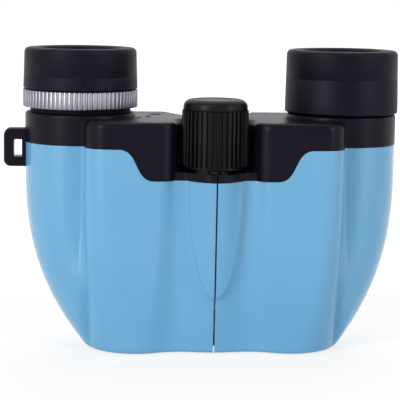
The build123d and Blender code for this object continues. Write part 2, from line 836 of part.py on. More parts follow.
# End cap that closes the hinge's lower end, hollow where the slider's neck comes down
cap_floor_low_z = neck_low_z - focus_travel - axial_clear
with BuildPart() as hinge_cap:
    revolve(disc(axis_cavity_r - 2 * fit_clear, hinge_cap_low_z, hinge_cap_top_z), axis=vertical(0, 0))
    neck_room = disc(neck_r + slot_clear, cap_floor_low_z, hinge_cap_top_z)
    revolve(neck_room, axis=vertical(0, 0), mode=Mode.SUBTRACT)
hinge_cap.part.label = "hinge_cap"
export_step(hinge_cap.part, "parts/hinge_cap.step")

# Focus knob with its spindle, cap and screw
cap_floor_z = knob_top_z - knob_cap_t
head_floor_z = cap_floor_z - knob_screw_head_t - fit_clear
spindle_top_z = head_floor_z - knob_screw_head_t
knob_core_r = knob_r - knob_rib_depth
with BuildPart() as focus_knob:
    revolve(
        turned(
            [
                (spindle_r, knob_bottom_z),
                (knob_core_r, knob_bottom_z),
                (knob_core_r, knob_top_z),
                (knob_cap_r, knob_top_z),
                (knob_cap_r, cap_floor_z),
                (knob_screw_head_r + fit_clear, cap_floor_z),
                (knob_screw_head_r + fit_clear, head_floor_z),
                (knob_screw_r, head_floor_z),
                (knob_screw_r, spindle_top_z),
                (spindle_r, spindle_top_z),
            ]
        ),
        axis=vertical(0, 0),
    )
    top_circles = focus_knob.edges().filter_by(GeomType.CIRCLE).group_by(Axis.Z)[-1]
    fillet(top_circles.sort_by(SortBy.RADIUS)[-1], knob_shoulder_r)
    with BuildSketch(level(knob_bottom_z)):
        with PolarLocations(knob_r - knob_rib_width / 2, knob_rib_count):
            Circle(knob_rib_width / 2)
    extrude(amount=knob_rib_top_z - knob_bottom_z)
focus_knob.part.label = "focus_knob"
export_step(focus_knob.part, "parts/focus_knob.step")

with BuildPart() as knob_cap:
    revolve(disc(knob_cap_r - fit_clear, cap_floor_z, knob_top_z - 2 * fit_clear), axis=vertical(0, 0))
knob_cap.part.label = "knob_cap"
export_step(knob_cap.part, "parts/knob_cap.step")

screw_low_z = head_floor_z - knob_screw_length
with BuildPart() as knob_screw:
    revolve(disc(knob_screw_head_r, head_floor_z, cap_floor_z - fit_clear), axis=vertical(0, 0))
    revolve(disc(knob_screw_r, screw_low_z, head_floor_z), axis=vertical(0, 0))
knob_screw.part.label = "knob_screw"
export_step(knob_screw.part, "parts/knob_screw.step")

with BuildPart() as focus_spindle:
    revolve(disc(spindle_r, spindle_low_z, spindle_top_z), axis=vertical(0, 0))
    revolve(disc(slider_r, lip_top_z - spindle_collar_t, lip_top_z), axis=vertical(0, 0))
    revolve(disc(knob_screw_r, screw_low_z, spindle_top_z), axis=vertical(0, 0), mode=Mode.SUBTRACT)
focus_spindle.part.label = "focus_spindle"
export_step(focus_spindle.part, "parts/focus_spindle.step")

# Eyepiece units: the right cell rests on its tube by a flange, the left one slides in its tube
ocular_r = ocular_bore_r - running_clear
field_low_z = ocular_low_z + lens_rise + fit_clear
field_high_z = field_low_z + field_lens_t
ocular_top_z = boss_tube_top_z + ocular_flange_t
eye_high_z = boss_tube_top_z
eye_low_z = eye_high_z - eye_lens_t
for name, side in sides:
    place = (side * eye_x, eye_y)
    with BuildPart() as ocular_cell:
        revolve(tube(ocular_r, ocular_lens_r, field_low_z, ocular_top_z, *place), axis=vertical(*place))
        revolve(tube(ocular_r, ocular_clear_r, ocular_low_z, field_low_z, *place), axis=vertical(*place))
        if side > 0:
            revolve(tube(boss_tube_r - fit_clear, ocular_lens_r, boss_tube_top_z, ocular_top_z, *place),
                    axis=vertical(*place))
    with BuildPart() as field_lens:
        revolve(lens_profile(ocular_lens_r, ocular_clear_r, field_low_z, field_lens_t, lens_rise, *place),
                axis=vertical(*place))
    with BuildPart() as eye_lens:
        revolve(lens_profile(ocular_lens_r, ocular_clear_r, eye_low_z, eye_lens_t, lens_rise, *place),
                axis=vertical(*place))
    with BuildPart() as lens_spacer:
        revolve(tube(ocular_lens_r, ocular_clear_r, field_high_z, eye_low_z, *place), axis=vertical(*place))
    with BuildPart() as ocular_retainer:
        lock_ring = tube(ocular_lens_r, ocular_clear_r, eye_high_z, ocular_top_z, *place)
        revolve(lock_ring, axis=vertical(*place))
    for piece, label in (
        (ocular_cell, "ocular_cell"),
        (field_lens, "field_lens"),
        (eye_lens, "eye_lens"),
        (lens_spacer, "lens_spacer"),
        (ocular_retainer, "ocular_retainer"),
    ):
        piece.part.label = f"{name}_{label}"
        export_step(piece.part, f"parts/{name}_{label}.step")


def eyecup_profile(base_z, bore_r, bore_top_z, waist_z, side):
    """Half profile of a rubber eyecup: straight skirt, band, slight taper and a rounded rim."""
    rim = eyecup_rim_r
    top = eyecup_top_z
    skirt_r = eyecup_r - eyecup_waist
    rim_r = skirt_r - eyecup_waist
    corner = rim * (1 - sqrt(0.5))
    with BuildSketch(upright(side * eye_x, eye_y)) as half_profile:
        with BuildLine():
            Polyline(
                (bore_r, base_z),
                (eyecup_r, base_z),
                (eyecup_r, waist_z),
                (skirt_r, waist_z + eyecup_waist),
                (skirt_r, eyecup_band_z),
                (rim_r, eyecup_band_z + eyecup_waist),
                (rim_r, top - rim),
            )
            ThreePointArc((rim_r, top - rim), (rim_r - corner, top - corner), (rim_r - rim, top))
            Line((rim_r - rim, top), (eyecup_mouth_r + rim, top))
            ThreePointArc((eyecup_mouth_r + rim, top), (eyecup_mouth_r + corner, top - corner),
                          (eyecup_mouth_r, top - rim))
            Polyline((eyecup_mouth_r, top - rim), (eyecup_mouth_r, bore_top_z), (bore_r, bore_top_z),
                     (bore_r, base_z))
        make_face()
    return half_profile.sketch


with BuildPart() as right_eyecup:
    revolve(
        eyecup_profile(
            eyecup_base_z,
            boss_tube_r,
            ocular_top_z + fit_clear,
            eyecup_base_z + eyecup_lip,
            1,
        ),
        axis=vertical(*eye_axis),
    )
right_eyecup.part.label = "right_eyecup"
export_step(right_eyecup.part, "parts/right_eyecup.step")

left_eye_axis = (-eye_x, eye_y)
left_cup_base_z = ring_top_z + 2 * fit_clear
with BuildPart() as left_eyecup:
    revolve(eyecup_profile(left_cup_base_z, collar_r, collar_top_z, left_cup_base_z + eyecup_lip, -1),
            axis=vertical(*left_eye_axis))
left_eyecup.part.label = "left_eyecup"
export_step(left_eyecup.part, "parts/left_eyecup.step")

# Dioptre ring: toothed band, hub that turns on the eyepiece tube, collar that carries the eyecup
hub_bore_r = boss_tube_r + running_clear
hub_low_z = boss_top_z + fit_clear
with BuildPart() as diopter_ring:
    with BuildSketch(Plane(origin=(hinge_x - eye_x, hinge_y + eye_y, ring_low_z))):
        with BuildLine():
            step = pi / ring_tooth_count
            Polyline(
                *[((ring_r - ring_tooth_depth * (i % 2)) * cos(i * step),
                   (ring_r - ring_tooth_depth * (i % 2)) * sin(i * step))
                  for i in range(2 * ring_tooth_count)],
                close=True,
            )
        make_face()
        Circle(hub_bore_r, mode=Mode.SUBTRACT)
    extrude(amount=ring_top_z - ring_low_z)
    hub = tube(collar_r, hub_bore_r, hub_low_z, ring_low_z, *left_eye_axis)
    revolve(hub, axis=vertical(*left_eye_axis))
    collar = tube(collar_r, collar_bore_r, ring_top_z, collar_top_z, *left_eye_axis)
    revolve(collar, axis=vertical(*left_eye_axis))
diopter_ring.part.label = "diopter_ring"
export_step(diopter_ring.part, "parts/diopter_ring.step")

with BuildPart() as diopter_retainer:
    snap_low_z = ring_top_z + fit_clear
    snap_ring = tube(snap_r, boss_tube_r, snap_low_z, snap_low_z + snap_t, *left_eye_axis)
    revolve(snap_ring, axis=vertical(*left_eye_axis))
diopter_retainer.part.label = "diopter_retainer"
export_step(diopter_retainer.part, "parts/diopter_retainer.step")
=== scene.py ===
"""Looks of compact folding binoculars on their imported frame, in metres and in the frame's own axes."""

import json
import math

import bmesh
import bpy
from mathutils import Matrix, Vector


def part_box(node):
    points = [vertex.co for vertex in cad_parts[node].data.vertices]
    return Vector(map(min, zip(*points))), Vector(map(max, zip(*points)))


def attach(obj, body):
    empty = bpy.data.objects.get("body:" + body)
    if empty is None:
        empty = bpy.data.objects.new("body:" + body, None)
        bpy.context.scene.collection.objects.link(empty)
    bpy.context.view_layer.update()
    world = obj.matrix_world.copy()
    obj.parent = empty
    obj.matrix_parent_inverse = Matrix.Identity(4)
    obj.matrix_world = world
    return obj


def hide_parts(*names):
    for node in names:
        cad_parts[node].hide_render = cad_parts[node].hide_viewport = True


MM = 0.001

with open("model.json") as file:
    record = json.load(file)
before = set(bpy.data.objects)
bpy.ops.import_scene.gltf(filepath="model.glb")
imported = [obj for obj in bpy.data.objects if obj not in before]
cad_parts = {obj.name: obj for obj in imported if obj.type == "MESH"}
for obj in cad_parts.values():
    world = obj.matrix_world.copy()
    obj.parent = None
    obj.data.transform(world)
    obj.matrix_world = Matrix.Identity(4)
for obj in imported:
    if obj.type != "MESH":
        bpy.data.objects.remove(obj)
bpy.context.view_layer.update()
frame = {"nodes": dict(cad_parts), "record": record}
scene = bpy.context.scene
scene.view_settings.view_transform = "Standard"


# Sizes of the dressed pieces in millimetres and degrees: _r is a radius, _h a height, and _in a depth
# below the node's own radius

knob_rib_count = 36
knob_rib_width = 0.56
knob_rib_end = 0.7
knob_rib_reach = 1.0
knob_rib_start = 0.65
knob_core_in = 0.85
knob_shoulder_in = 0.42
knob_shoulder_r = 2.1
knob_shoulder_h = 2.6
knob_bevel = 0.3
knob_bore_r = 2.9
cap_sunk = 0.16
cap_recess_gap = 0.08
cap_recess_h = 0.75

ring_tooth_count = 72
ring_tooth_fill = 0.92
ring_tooth_reach = 0.24
ring_tooth_end = 0.3
ring_bevel = 0.25
ring_height = 4.7
hub_height = 1.2
hub_r = 13.6
hub_bore_r = 11.62
collar_bore_r = 12.82

right_cup_bore_r = 11.56
cup_taper = 0.34
cup_rim_r = 1.3
cup_mouth_r = 10.6
cup_seat_gap = 0.06
cup_line_depth = 0.08
cup_line_width = 0.3
cup_line_drop = 7.6
cup_foot_bevel = 0.3

# The index is dished: each ring is a share of its radius and a rise from the eyecup's skin
index_r = 0.8
index_rings = ((1.0, -0.14), (1.0, 0.084), (0.85, 0.14), (0.6, 0.06))
index_floor = 0.03
index_above_foot = 2.0
index_turn = -86.0

# Marks stand on the left cover's deck; each place is a reach and a turn about the left eyepiece
deck_z = 61.6
mark_width = 0.6
mark_length = 2.8
mark_height = 0.14
mark_root = 0.1
mark_zero_r = (0.7, 0.3)
mark_places = ((17.2, -25.0), (18.7, -11.0), (20.9, 10.5))

# Fineness of the meshes and of the rounded look of edges
turn_steps = 144
round_steps = 32
arc_steps = 8
sharp_deg = 35.0
rib_segments = 12
rib_rings = 6
rib_middle_snap = 0.01
edge_samples = 6


# Floor, light and camera in metres and watts, with the lens and its sensor in millimetres

# The object gets its bounced light from floor_pale; the camera sees floor_faint and the glow instead
floor_half = 3.0
floor_z = -0.0003
floor_pale = 0.8
floor_faint = 0.25
floor_glow = 0.76
floor_fade = (0.08, 0.45)

world_level = 0.28
lamp_aim = (0.0, -0.005, 0.04)

camera_sensor = 36.0
camera_lens = 148.5
camera_near = 0.01
camera_far = 0.44
camera_turn = math.radians(-3.8)
camera_rise = math.radians(7.8)
camera_roll = math.radians(0.8)
camera_look_at = (-0.001175, -0.0101, 0.0404)


# Places read from the frame, axes in metres and the rest in millimetres


def node_axis(node):
    """Plan position of a turned node's axis."""
    low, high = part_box(node)
    return (low[0] + high[0]) / 2, (low[1] + high[1]) / 2


def node_radius(node):
    """Radius of a turned node."""
    low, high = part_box(node)
    return (high[0] - low[0]) / 2 / MM


def node_heights(node):
    """Lowest and highest point of a node."""
    low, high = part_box(node)
    return low[2] / MM, high[2] / MM


knob_axis = node_axis("knob_cap")
knob_r = node_radius("focus_knob")
knob_low_z = node_heights("focus_knob")[0]
cap_r = node_radius("knob_cap")
knob_top_z = node_heights("knob_cap")[1] + cap_sunk
left_eye_axis = node_axis("left_eye_lens")
ring_r = node_radius("diopter_ring")
hub_low_z, collar_top_z = node_heights("diopter_ring")
ring_low_z = hub_low_z + hub_height
right_cell_top_z = node_heights("right_ocular_cell")[1]


# Shader node groups that several finishes share


def new_group(name, inputs, outputs):
    """Empty shader node group with float inputs (name, default) and float outputs."""
    group = bpy.data.node_groups.new(name, "ShaderNodeTree")
    for label, default in inputs:
        socket = group.interface.new_socket(label, in_out="INPUT", socket_type="NodeSocketFloat")
        socket.default_value = default
    for label in outputs:
        group.interface.new_socket(label, in_out="OUTPUT", socket_type="NodeSocketFloat")
    return group, group.nodes.new("NodeGroupInput"), group.nodes.new("NodeGroupOutput")


def add_node(tree, kind, **settings):
    """New node with its properties set."""
    node = tree.nodes.new(kind)
    for key, value in settings.items():
        setattr(node, key, value)
    return node


def feed(tree, socket, value):
    """Sets a socket to a number or links it to another socket."""
    if isinstance(value, (int, float)):
        socket.default_value = value
    else:
        tree.links.new(value, socket)


def maths(tree, operation, first, second):
    """Math node of two values, each a number or a socket."""
    node = add_node(tree, "ShaderNodeMath", operation=operation)
    for socket, value in zip(node.inputs, (first, second)):
        feed(tree, socket, value)
    return node.outputs["Value"]


def ramp_map(tree, value, low, high, to_low, to_high):
    """Map Range node from low..high to to_low..to_high, each a number or a socket."""
    node = add_node(tree, "ShaderNodeMapRange", clamp=True)
    labels = ("Value", "From Min", "From Max", "To Min", "To Max")
    for label, item in zip(labels, (value, low, high, to_low, to_high)):
        feed(tree, node.inputs[label], item)
    return node.outputs["Result"]


def own_coords(tree):
    """Coordinates that stay with the object when it moves."""
    return add_node(tree, "ShaderNodeTexCoord").outputs["Object"]


def noise(tree, scale, detail, rough):
    """Noise texture on the object's own coordinates; scale is a number or a socket."""
    node = add_node(tree, "ShaderNodeTexNoise")
    tree.links.new(own_coords(tree), node.inputs["Vector"])
    node.inputs["Detail"].default_value = detail
    node.inputs["Roughness"].default_value = rough
    feed(tree, node.inputs["Scale"], scale)
    return node.outputs["Fac"]


def make_mould_grain(cell_share=0.6):
    """Fine leathery grain of a spark-eroded mould: small rounded cells over a slow unevenness."""
    inputs = [("Cell Scale", 2600.0), ("Slow Scale", 60.0)]
    group, inward, outward = new_group("Mould Grain", inputs, ["Height"])
    cells = add_node(group, "ShaderNodeTexVoronoi", feature="SMOOTH_F1")
    group.links.new(own_coords(group), cells.inputs["Vector"])
    group.links.new(inward.outputs["Cell Scale"], cells.inputs["Scale"])
    slow = noise(group, inward.outputs["Slow Scale"], detail=2.0, rough=0.5)
    fine = maths(group, "MULTIPLY", cells.outputs["Distance"], cell_share)
    group.links.new(maths(group, "ADD", fine, slow), outward.inputs["Height"])
    return group


def make_handling(clear_below=0.3, full_above=0.7):
    """Faint smears from handling: a slow mask, and a roughness that wanders with it."""
    inputs = [("Patch Scale", 45.0), ("Low", 0.2), ("High", 0.3)]
    group, inward, outward = new_group("Handling Marks", inputs, ["Roughness", "Mask"])
    patches = noise(group, inward.outputs["Patch Scale"], detail=3.0, rough=0.45)
    mask = ramp_map(group, patches, clear_below, full_above, 0.0, 1.0)
    group.links.new(mask, outward.inputs["Mask"])
    rough = ramp_map(group, mask, 0.0, 1.0, inward.outputs["Low"], inward.outputs["High"])
    group.links.new(rough, outward.inputs["Roughness"])
    return group


def make_skin_ripple():
    """Slow ripple that a glossy moulded skin shows in its reflections."""
    group, inward, outward = new_group("Skin Ripple", [("Scale", 220.0)], ["Height"])
    ripple = noise(group, inward.outputs["Scale"], detail=1.0, rough=0.4)
    group.links.new(ripple, outward.inputs["Height"])
    return group


mould_grain = make_mould_grain()
handling_marks = make_handling()
skin_ripple = make_skin_ripple()


# Finishes, one for each of the record's material slots


def use_group(tree, group, **values):
    """Group placed in a material with its own input values; underscores stand for spaces."""
    node = add_node(tree, "ShaderNodeGroup", node_tree=group)
    for label, value in values.items():
        node.inputs[label.replace("_", " ")].default_value = value
    return node.outputs


def srgb(red, green, blue):
    """Linear colour of 8-bit screen values."""
    parts = [value / 255 for value in (red, green, blue)]
    return tuple(v / 12.92 if v <= 0.04045 else ((v + 0.055) / 1.055) ** 2.4 for v in parts) + (1.0,)


def new_finish(name, colour, **sockets):
    """Material with a Principled BSDF; returns the material, its tree and its shader."""
    material = bpy.data.materials.new(name)
    material.use_nodes = True
    shader = material.node_tree.nodes["Principled BSDF"]
    shader.inputs["Base Color"].default_value = colour
    for label, value in sockets.items():
        shader.inputs[label.replace("_", " ")].default_value = value
    return material, material.node_tree, shader


def worn_by_handling(tree, shader, first, second, **values):
    """Colour that goes from the first to the second, and roughness that wanders, with handling."""
    marks = use_group(tree, handling_marks, **values)
    mix = add_node(tree, "ShaderNodeMix", data_type="RGBA")
    mix.inputs["A"].default_value = first
    mix.inputs["B"].default_value = second
    tree.links.new(marks["Mask"], mix.inputs["Factor"])
    tree.links.new(mix.outputs["Result"], shader.inputs["Base Color"])
    tree.links.new(marks["Roughness"], shader.inputs["Roughness"])


def bump_by(tree, shader, height, relief, edge_round=0.0):
    """Bump with a relief in metres, over edges that look rounded by a radius in metres."""
    bump = add_node(tree, "ShaderNodeBump")
    bump.inputs["Distance"].default_value = relief
    tree.links.new(height, bump.inputs["Height"])
    tree.links.new(bump.outputs["Normal"], shader.inputs["Normal"])
    if edge_round:
        rounded = add_node(tree, "ShaderNodeBevel", samples=edge_samples)
        rounded.inputs["Radius"].default_value = edge_round
        tree.links.new(rounded.outputs["Normal"], bump.inputs["Normal"])


def moulded(name, first, second, rough_low, rough_high, cell_scale, relief, edge_round=0.0, **sockets):
    """Grained moulding with the mould's grain in its normal."""
    material, tree, shader = new_finish(name, first, **sockets)
    worn_by_handling(tree, shader, first, second, Low=rough_low, High=rough_high)
    grain = use_group(tree, mould_grain, Cell_Scale=cell_scale)
    bump_by(tree, shader, grain["Height"], relief, edge_round)
    return material


def glossy(name, first, second, rough_low, rough_high, relief, edge_round, **sockets):
    """Glossy moulding with a faint ripple in its skin."""
    material, tree, shader = new_finish(name, first, **sockets)
    worn_by_handling(tree, shader, first, second, Low=rough_low, High=rough_high)
    bump_by(tree, shader, use_group(tree, skin_ripple)["Height"], relief, edge_round)
    return material


def glass(name, tint, coat_tint):
    """Polished glass; the coat's tint is the bloom of its anti-reflection layer."""
    return new_finish(
        name,
        tint,
        Roughness=0.01,
        IOR=1.52,
        Transmission_Weight=1.0,
        Coat_Weight=1.0,
        Coat_Roughness=0.02,
        Coat_Tint=coat_tint,
    )[0]


def metal(name, first, second, rough_low, rough_high, relief, patch_scale, ripple_scale):
    """Bare metal with tool marks."""
    material, tree, shader = new_finish(name, first, Metallic=1.0)
    worn_by_handling(tree, shader, first, second, Patch_Scale=patch_scale, Low=rough_low, High=rough_high)
    bump_by(tree, shader, use_group(tree, skin_ripple, Scale=ripple_scale)["Height"], relief)
    return material


finishes = {
    "blue_gloss": glossy(
        "blue_gloss",
        srgb(102, 168, 208),
        srgb(98, 164, 205),
        rough_low=0.2,
        rough_high=0.25,
        relief=0.00002,
        edge_round=0.0004,
        IOR=1.5,
        Coat_Weight=0.15,
        Coat_Roughness=0.08,
    ),
    "black_satin": moulded(
        "black_satin",
        srgb(9, 8, 20),
        srgb(12, 11, 23),
        rough_low=0.3,
        rough_high=0.37,
        cell_scale=3200.0,
        relief=0.000018,
        edge_round=0.0003,
        Specular_IOR_Level=0.12,
        Specular_Tint=(1.0, 0.84, 0.95, 1.0),
    ),
    "knob_black": moulded(
        "knob_black",
        srgb(10, 9, 13),
        srgb(13, 12, 16),
        rough_low=0.34,
        rough_high=0.41,
        cell_scale=3600.0,
        relief=0.000006,
        Specular_IOR_Level=0.13,
    ),
    "eyecup_rubber": moulded(
        "eyecup_rubber",
        srgb(9, 8, 20),
        srgb(12, 11, 23),
        rough_low=0.42,
        rough_high=0.52,
        cell_scale=2600.0,
        relief=0.000026,
        edge_round=0.0002,
        Specular_IOR_Level=0.11,
        Specular_Tint=(0.95, 0.86, 1.0, 1.0),
    ),
    "cell_black": moulded(
        "cell_black",
        srgb(12, 11, 13),
        srgb(15, 14, 16),
        rough_low=0.6,
        rough_high=0.72,
        cell_scale=3000.0,
        relief=0.00001,
        Specular_IOR_Level=0.1,
    ),
    "silver_ring": metal(
        "silver_ring",
        srgb(144, 141, 152),
        srgb(133, 130, 142),
        rough_low=0.34,
        rough_high=0.42,
        relief=0.000006,
        patch_scale=60.0,
        ripple_scale=1200.0,
    ),
    "steel": metal(
        "steel",
        srgb(190, 190, 192),
        srgb(170, 170, 174),
        rough_low=0.3,
        rough_high=0.45,
        relief=0.000008,
        patch_scale=80.0,
        ripple_scale=1600.0,
    ),
    "brass": metal(
        "brass",
        srgb(214, 182, 110),
        srgb(196, 162, 92),
        rough_low=0.25,
        rough_high=0.4,
        relief=0.000008,
        patch_scale=80.0,
        ripple_scale=1600.0,
    ),
    "coated_glass": glass("coated_glass", srgb(235, 240, 250), srgb(150, 120, 210)),
    "prism_glass": glass("prism_glass", srgb(240, 246, 244), srgb(255, 255, 255)),
}


def dress(obj, slot):
    """Gives an object one finish."""
    obj.data.materials.clear()
    obj.data.materials.append(finishes[slot])


for part in frame["record"]["subparts"]:
    dress(frame["nodes"][part["node"]], part["material_slot"])


# Turned bodies, and ribs set round them by Geometry Nodes


def finished_mesh(name, shape, slot):
    """Object of a bmesh, smooth apart from its sharp edges, in one finish."""
    bmesh.ops.recalc_face_normals(shape, faces=shape.faces)
    mesh = bpy.data.meshes.new(name)
    shape.to_mesh(mesh)
    shape.free()
    mesh.shade_smooth()
    mesh.set_sharp_from_angle(angle=math.radians(sharp_deg))
    obj = bpy.data.objects.new(name, mesh)
    scene.collection.objects.link(obj)
    dress(obj, slot)
    return obj


def join_loops(shape, first, second):
    """Faces between two loops of as many points."""
    for i in range(len(first)):
        j = (i + 1) % len(first)
        shape.faces.new((first[i], first[j], second[j], second[i]))


def turned_body(name, outline, axis, slot):
    """Body turned about a vertical axis from a closed outline of (radius, height) in mm."""
    shape = bmesh.new()
    foot = Vector((*axis, 0))
    loops = []
    for step in range(turn_steps):
        angle = 2 * math.pi * step / turn_steps
        out = Vector((math.cos(angle), math.sin(angle), 0))
        points = [foot + out * r * MM + Vector((0, 0, z * MM)) for r, z in outline]
        loops.append([shape.verts.new(point) for point in points])
    for loop, after in zip(loops, loops[1:] + loops[:1]):
        join_loops(shape, loop, after)
    return finished_mesh(name, shape, slot)


def arc_points(centre, radius, start_deg, end_deg):
    """Points of an arc in an outline, (radius, height) in mm."""
    points = []
    for step in range(arc_steps + 1):
        angle = math.radians(start_deg + (end_deg - start_deg) * step / arc_steps)
        points.append((centre[0] + radius * math.cos(angle), centre[1] + radius * math.sin(angle)))
    return points


def circle_points(radius):
    """Points of a small circle about nought."""
    angles = [2 * math.pi * step / round_steps for step in range(round_steps)]
    return [(radius * math.cos(angle), radius * math.sin(angle)) for angle in angles]


def make_rib_tree():
    """Geometry Nodes tree that sets rounded ribs round a turned body, standing along Z."""
    tree = bpy.data.node_groups.new("Ribs Round An Axis", "GeometryNodeTree")
    face = tree.interface
    face.new_socket("Body", in_out="INPUT", socket_type="NodeSocketGeometry")
    face.new_socket("Count", in_out="INPUT", socket_type="NodeSocketInt")
    for label in ("Circle Radius", "Rib Width", "Rib Reach", "End Round", "Rib Length"):
        face.new_socket(label, in_out="INPUT", socket_type="NodeSocketFloat")
    face.new_socket("Middle", in_out="INPUT", socket_type="NodeSocketVector")
    face.new_socket("Finish", in_out="INPUT", socket_type="NodeSocketMaterial")
    face.new_socket("Ribbed Body", in_out="OUTPUT", socket_type="NodeSocketGeometry")
    given = tree.nodes.new("NodeGroupInput").outputs
    result = tree.nodes.new("NodeGroupOutput")
    link = tree.links.new

    # One rib: a sphere drawn to the rib's section, then pulled apart at its middle to the rib's length
    pill = add_node(tree, "GeometryNodeMeshUVSphere")
    pill.inputs["Segments"].default_value = rib_segments
    pill.inputs["Rings"].default_value = rib_rings
    pill.inputs["Radius"].default_value = 1.0
    size = add_node(tree, "ShaderNodeCombineXYZ")
    link(given["Rib Reach"], size.inputs["X"])
    link(maths(tree, "MULTIPLY", given["Rib Width"], 0.5), size.inputs["Y"])
    link(given["End Round"], size.inputs["Z"])
    sized = add_node(tree, "GeometryNodeTransform")
    link(pill.outputs["Mesh"], sized.inputs["Geometry"])
    link(size.outputs["Vector"], sized.inputs["Scale"])
    place = add_node(tree, "ShaderNodeSeparateXYZ")
    link(add_node(tree, "GeometryNodeInputPosition").outputs["Position"], place.inputs["Vector"])
    both_ends = maths(tree, "MULTIPLY", given["End Round"], 2.0)
    straight = maths(tree, "SUBTRACT", given["Rib Length"], both_ends)
    snapped = maths(tree, "SNAP", place.outputs["Z"], rib_middle_snap * MM)
    side = maths(tree, "SIGN", snapped, 0.0)
    shift = add_node(tree, "ShaderNodeCombineXYZ")
    link(maths(tree, "MULTIPLY", side, maths(tree, "MULTIPLY", straight, 0.5)), shift.inputs["Z"])
    stretched = add_node(tree, "GeometryNodeSetPosition")
    link(sized.outputs["Geometry"], stretched.inputs["Geometry"])
    link(shift.outputs["Vector"], stretched.inputs["Offset"])

    # The ribs, each turned to face out of the circle
    circle = add_node(tree, "GeometryNodeMeshCircle")
    link(given["Count"], circle.inputs["Vertices"])
    link(given["Circle Radius"], circle.inputs["Radius"])
    turn = add_node(tree, "ShaderNodeCombineXYZ")
    index = add_node(tree, "GeometryNodeInputIndex").outputs["Index"]
    step = maths(tree, "DIVIDE", 2 * math.pi, given["Count"])
    link(maths(tree, "MULTIPLY", index, step), turn.inputs["Z"])
    ribs = add_node(tree, "GeometryNodeInstanceOnPoints")
    link(circle.outputs["Mesh"], ribs.inputs["Points"])
    link(stretched.outputs["Geometry"], ribs.inputs["Instance"])
    link(turn.outputs["Vector"], ribs.inputs["Rotation"])
    placed = add_node(tree, "GeometryNodeTransform")
    link(ribs.outputs["Instances"], placed.inputs["Geometry"])
    link(given["Middle"], placed.inputs["Translation"])
    real = add_node(tree, "GeometryNodeRealizeInstances")
    link(placed.outputs["Geometry"], real.inputs["Geometry"])
    smooth = add_node(tree, "GeometryNodeSetShadeSmooth")
    link(real.outputs["Geometry"], smooth.inputs["Geometry"])

    both = add_node(tree, "GeometryNodeJoinGeometry")
    link(smooth.outputs["Geometry"], both.inputs["Geometry"])
    link(given["Body"], both.inputs["Geometry"])
    finish = add_node(tree, "GeometryNodeSetMaterial")
    link(both.outputs["Geometry"], finish.inputs["Geometry"])
    link(given["Finish"], finish.inputs["Material"])
    link(finish.outputs["Geometry"], result.inputs["Ribbed Body"])
    return tree


rib_tree = make_rib_tree()


def add_ribs(obj, slot, **values):
    """Runs the rib tree on a turned body and keeps the result as a plain mesh."""
    modifier = obj.modifiers.new("ribs", "NODES")
    modifier.node_group = rib_tree
    values["Finish"] = finishes[slot]
    for item in rib_tree.interface.items_tree:
        label = item.name.replace(" ", "_")
        if item.in_out == "INPUT" and label in values:
            modifier[item.identifier] = values[label]
    depsgraph = bpy.context.evaluated_depsgraph_get()
    ribbed = bpy.data.meshes.new_from_object(obj.evaluated_get(depsgraph))
    obj.modifiers.remove(modifier)
    obj.data = ribbed
    obj.data.name = obj.name


# Pieces that stand in for a node, and the small ones beside them


def make_focus_knob():
    """Turned knob with a rounded shoulder, a recess for its disc and ribs with rounded ends."""
    core_r = knob_r - knob_core_in
    shoulder_r = knob_r - knob_shoulder_in
    shoulder_z = knob_top_z - knob_shoulder_h
    recess_r = cap_r + cap_recess_gap
    recess_z = knob_top_z - cap_recess_h
    outline = [(knob_bore_r, recess_z), (knob_bore_r, knob_low_z), (core_r - knob_bevel, knob_low_z)]
    outline += [(core_r, knob_low_z + knob_bevel), (core_r, shoulder_z - knob_bevel)]
    outline += [(shoulder_r, shoulder_z), (shoulder_r, shoulder_z + knob_bevel)]
    corner = (shoulder_r - knob_shoulder_r, knob_top_z - knob_shoulder_r)
    outline += arc_points(corner, knob_shoulder_r, 0, 90)
    outline += [(recess_r + knob_bevel / 2, knob_top_z), (recess_r, knob_top_z - knob_bevel / 2)]
    outline.append((recess_r, recess_z))
    knob = turned_body("focus_knob_grip", outline, knob_axis, "knob_black")
    rib_low_z = knob_low_z + knob_rib_start
    add_ribs(
        knob,
        "knob_black",
        Count=knob_rib_count,
        Circle_Radius=(knob_r - knob_rib_reach) * MM,
        Rib_Width=knob_rib_width * MM,
        Rib_Reach=knob_rib_reach * MM,
        End_Round=knob_rib_end * MM,
        Rib_Length=(shoulder_z - rib_low_z) * MM,
        Middle=(*knob_axis, (rib_low_z + shoulder_z) / 2 * MM),
    )
    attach(knob, "focus_knob")
    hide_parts("focus_knob")


def make_diopter_ring():
    """Silver toothed band, and the hub and collar that carry it, finished black as painted shade in the
    gaps below and above the band.
    """
    top_z = ring_low_z + ring_height
    root_r = ring_r - ring_tooth_reach
    tooth_pitch = 2 * math.pi * ring_r / ring_tooth_count
    outline = [(hub_bore_r, ring_low_z), (root_r - ring_bevel, ring_low_z)]
    outline += [(root_r, ring_low_z + ring_bevel), (root_r, top_z - ring_bevel)]
    outline += [(root_r - ring_bevel, top_z), (hub_bore_r, top_z)]
    band = turned_body("diopter_ring_band", outline, left_eye_axis, "silver_ring")
    add_ribs(
        band,
        "silver_ring",
        Count=ring_tooth_count,
        Circle_Radius=root_r * MM,
        Rib_Width=tooth_pitch * ring_tooth_fill * MM,
        Rib_Reach=ring_tooth_reach * MM,
        End_Round=ring_tooth_end * MM,
        Rib_Length=ring_height * MM,
        Middle=(*left_eye_axis, (ring_low_z + ring_height / 2) * MM),
    )
    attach(band, "diopter_ring")
    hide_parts("diopter_ring")
    # Painted shade: the hub below the band and the collar above it take the black finish so that they
    # show as dark gaps.
    for name, bore_r, low_z, high_z in (
        ("diopter_hub", hub_bore_r, hub_low_z, ring_low_z),
        ("diopter_collar", collar_bore_r, top_z, collar_top_z),
    ):
        outline = [(bore_r, low_z), (hub_r, low_z), (hub_r, high_z), (bore_r, high_z)]
        piece = turned_body(name, outline, left_eye_axis, "cell_black")
        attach(piece, "diopter_ring")


